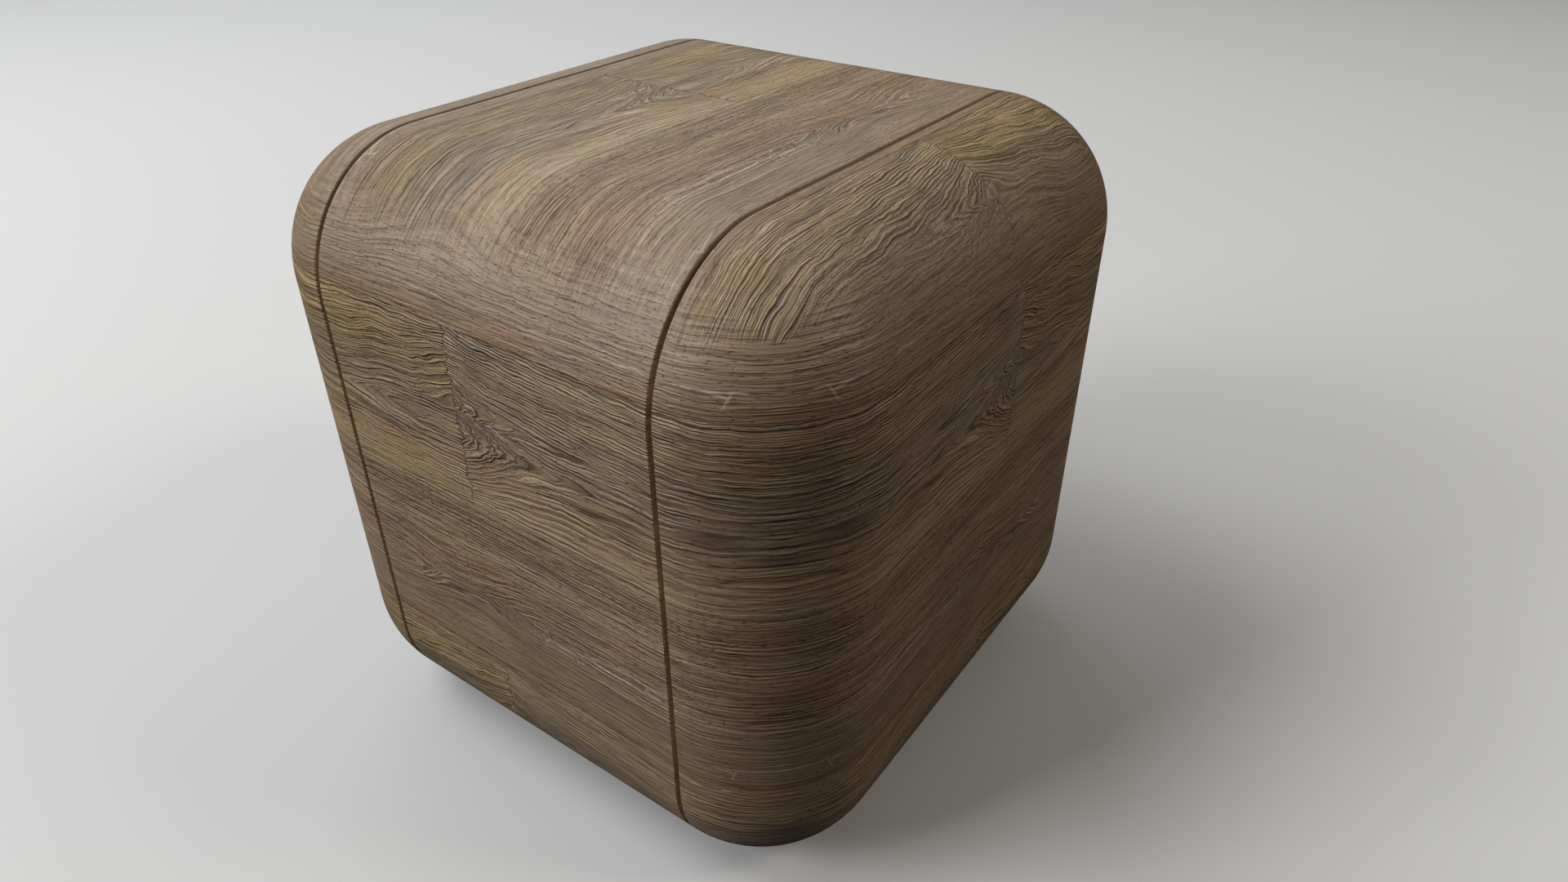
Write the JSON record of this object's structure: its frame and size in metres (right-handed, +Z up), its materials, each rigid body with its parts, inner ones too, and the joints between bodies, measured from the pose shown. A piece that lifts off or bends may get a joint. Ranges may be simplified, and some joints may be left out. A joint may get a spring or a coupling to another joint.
{
  "type": "wooden cube",
  "caption": "Solid wooden cube with generously rounded edges and corners, and fine saw grooves that run all the way round it near two opposite ends.",
  "frame": {"origin": "centre of the flat bottom face, which the cube stands on", "axes": "+X across the grooves, towards the end face that has the nearer groove in the view; -Y towards the front face that both grooves cross; +Z up"},
  "size_m": [0.1, 0.1, 0.1],
  "materials": {
    "weathered_oak": "dry, weathered, wire-brushed open grain"
  },
  "bodies": {
    "root": {"cube_block": "weathered_oak"}
  },
  "joints": []
}
